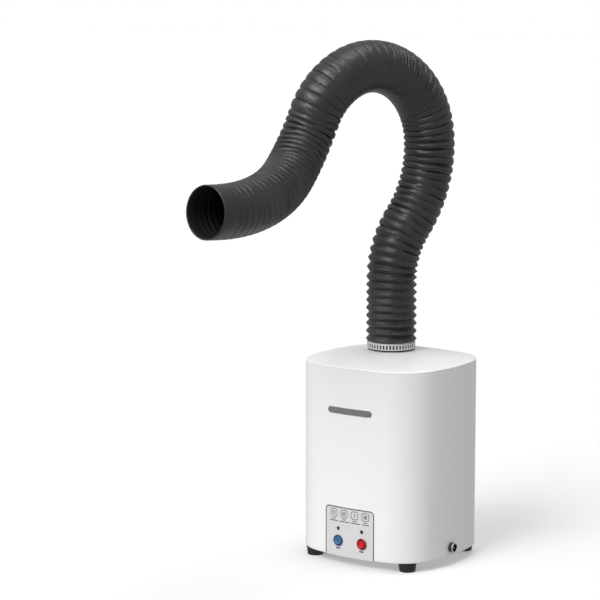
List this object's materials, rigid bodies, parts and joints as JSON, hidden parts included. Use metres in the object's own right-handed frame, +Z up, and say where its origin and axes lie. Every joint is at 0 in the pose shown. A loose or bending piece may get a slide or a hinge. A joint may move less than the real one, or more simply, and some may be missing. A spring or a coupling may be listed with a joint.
{
  "type": "solder fume extractor",
  "caption": "Free-standing solder fume extractor: rounded column with stacked lift-out filters over a blower, push buttons on a front panel and a self-supporting corrugated duct.",
  "frame": {"origin": "on the floor, midway between the four rubber feet", "axes": "+Z up through the duct collar, -Y out of the front with the control panel, +X to the side with the DC inlet"},
  "size_m": [0.2554, 0.5592, 0.8153],
  "materials": {
    "white_shell": "gloss",
    "inner_shell": "satin",
    "rubber": "matte",
    "steel": "brushed",
    "grille": "satin",
    "dark_plastic": "satin",
    "panel": "satin",
    "print": "matte",
    "badge": "satin",
    "led": "gloss",
    "bezels": "gloss",
    "blue_button": "gloss",
    "red_button": "gloss",
    "board": "satin",
    "copper": "enamelled",
    "nickel": "polished",
    "lead_red": "satin",
    "lead_yellow": "satin",
    "gasket": "matte",
    "card": "matte",
    "media": "fibrous",
    "pad": "fibrous",
    "strap": "satin",
    "duct": "matte"
  },
  "bodies": {
    "case": {"housing_shell": "white_shell", "base_plate": "inner_shell", "rubber_feet": "rubber", "foot_screws": "steel", "exhaust_grille": "grille", "fan_deck": "inner_shell", "inlet_guard": "dark_plastic", "blower_scroll": "dark_plastic", "scroll_floor_plate": "dark_plastic", "motor_bearings": "steel", "motor_stator": "copper", "control_panel": "panel", "panel_icons": "print", "badge_plate": "badge", "led_lenses": "led", "button_bezels": "bezels", "mode_spring": "steel", "power_spring": "steel", "switch_bodies": "dark_plastic", "control_board": "board", "board_standoffs": "steel", "dc_socket_body": "dark_plastic", "dc_socket_ring": "nickel", "dc_socket_pin": "nickel", "dc_lead": "lead_red", "motor_lead": "lead_yellow"},
    "rotor": {"impeller": "dark_plastic", "rotor_cup": "steel", "motor_shaft": "steel"},
    "mode_button": {"mode_button": "blue_button"},
    "power_button": {"power_button": "red_button"},
    "cover": {"top_cover": "white_shell", "cover_gasket": "gasket", "clamp_band": "steel", "clamp_housing": "steel", "clamp_screw": "steel"},
    "prefilter": {"prefilter_pad": "pad"},
    "upper_filter": {"upper_filter_case": "card", "upper_filter_media": "media", "upper_filter_lid": "card"},
    "lower_filter": {"lower_filter_case": "card", "lower_filter_media": "media", "lower_filter_lid": "card"},
    "upper_strap_left": {"upper_strap_left": "strap"},
    "upper_strap_right": {"upper_strap_right": "strap"},
    "lower_strap_left": {"lower_strap_left": "strap"},
    "lower_strap_right": {"lower_strap_right": "strap"},
    "duct_1": {"duct_section_1": "duct"},
    "duct_2": {"duct_section_2": "duct"},
    "duct_3": {"duct_section_3": "duct"},
    "duct_4": {"duct_section_4": "duct"},
    "duct_5": {"duct_section_5": "duct"},
    "duct_6": {"duct_section_6": "duct"},
    "duct_7": {"duct_section_7": "duct", "duct_mouth_cuff": "duct"}
  },
  "joints": [
    {"name": "fan_spin", "type": "hinge", "parent": "case", "child": "rotor", "pos_m": [-0.024, 0, 0.05], "axis": [0, 0, 1], "continuous": true},
    {"name": "mode_button_press", "type": "slide", "parent": "case", "child": "mode_button", "axis": [0, 1, 0], "range_m": [0, 0.0012], "stiffness_N_per_m": 800, "springref_m": -0.0008, "deforming": ["mode_spring"]},
    {"name": "power_button_press", "type": "slide", "parent": "case", "child": "power_button", "axis": [0, 1, 0], "range_m": [0, 0.0012], "stiffness_N_per_m": 800, "springref_m": -0.0008, "deforming": ["power_spring"]},
    {"name": "cover_lift", "type": "slide", "parent": "case", "child": "cover", "axis": [0, 0, 1], "range_m": [0, 0.48]},
    {"name": "prefilter_lift", "type": "slide", "parent": "case", "child": "prefilter", "axis": [0, 0, 1], "range_m": [0, 0.48]},
    {"name": "upper_filter_lift", "type": "slide", "parent": "case", "child": "upper_filter", "axis": [0, 0, 1], "range_m": [0, 0.48]},
    {"name": "lower_filter_lift", "type": "slide", "parent": "case", "child": "lower_filter", "axis": [0, 0, 1], "range_m": [0, 0.48]},
    {"name": "upper_strap_left_raise", "type": "hinge", "parent": "upper_filter", "child": "upper_strap_left", "pos_m": [-0.092, 0, 0.2908], "axis": [0, -1, 0], "range_deg": [0, 86]},
    {"name": "upper_strap_right_raise", "type": "hinge", "parent": "upper_filter", "child": "upper_strap_right", "pos_m": [0.092, 0, 0.2908], "axis": [0, 1, 0], "range_deg": [0, 86]},
    {"name": "lower_strap_left_raise", "type": "hinge", "parent": "lower_filter", "child": "lower_strap_left", "pos_m": [-0.092, 0, 0.2125], "axis": [0, -1, 0], "range_deg": [0, 86]},
    {"name": "lower_strap_right_raise", "type": "hinge", "parent": "lower_filter", "child": "lower_strap_right", "pos_m": [0.092, 0, 0.2125], "axis": [0, 1, 0], "range_deg": [0, 86]},
    {"name": "duct_swivel", "type": "hinge", "parent": "cover", "child": "duct_1", "pos_m": [0, 0, 0.34], "axis": [0, 0, 1], "range_deg": [-60, 60]},
    {"name": "duct_bend_1", "type": "hinge", "parent": "duct_1", "child": "duct_2", "pos_m": [0, 0, 0.44], "axis": [-0.8829, 0.4695, 0], "range_deg": [-12, 12]},
    {"name": "duct_bend_2", "type": "hinge", "parent": "duct_2", "child": "duct_3", "pos_m": [0.0132, 0.02483, 0.5292], "axis": [0.8958, -0.4439, -0.02], "range_deg": [-12, 12]},
    {"name": "duct_bend_3", "type": "hinge", "parent": "duct_3", "child": "duct_4", "pos_m": [0.03143, 0.05542, 0.66659], "axis": [0.9685, -0.2492, 0.0022], "range_deg": [-15, 12]},
    {"name": "duct_bend_4", "type": "hinge", "parent": "duct_4", "child": "duct_5", "pos_m": [-0.00064, -0.06827, 0.77525], "axis": [0.9395, -0.2272, -0.2563], "range_deg": [-15, 12]},
    {"name": "duct_bend_5", "type": "hinge", "parent": "duct_5", "child": "duct_6", "pos_m": [-0.04029, -0.15018, 0.70252], "axis": [-0.8476, -0.4128, 0.3335], "range_deg": [-15, 15]},
    {"name": "duct_bend_6", "type": "hinge", "parent": "duct_6", "child": "duct_7", "pos_m": [-0.04002, -0.22453, 0.61116], "axis": [-0.7133, 0.0308, -0.7002], "range_deg": [-18, 18]}
  ],
  "couplings": [
    {"joint": "prefilter_lift", "follows": "cover_lift", "ratio": 0.8},
    {"joint": "upper_filter_lift", "follows": "cover_lift", "ratio": 0.62},
    {"joint": "lower_filter_lift", "follows": "cover_lift", "ratio": 0.45},
    {"joint": "upper_strap_left_raise", "follows": "cover_lift", "rad_per_m": 3.09},
    {"joint": "upper_strap_right_raise", "follows": "cover_lift", "rad_per_m": 3.09},
    {"joint": "lower_strap_left_raise", "follows": "cover_lift", "rad_per_m": 3.09},
    {"joint": "lower_strap_right_raise", "follows": "cover_lift", "rad_per_m": 3.09}
  ]
}
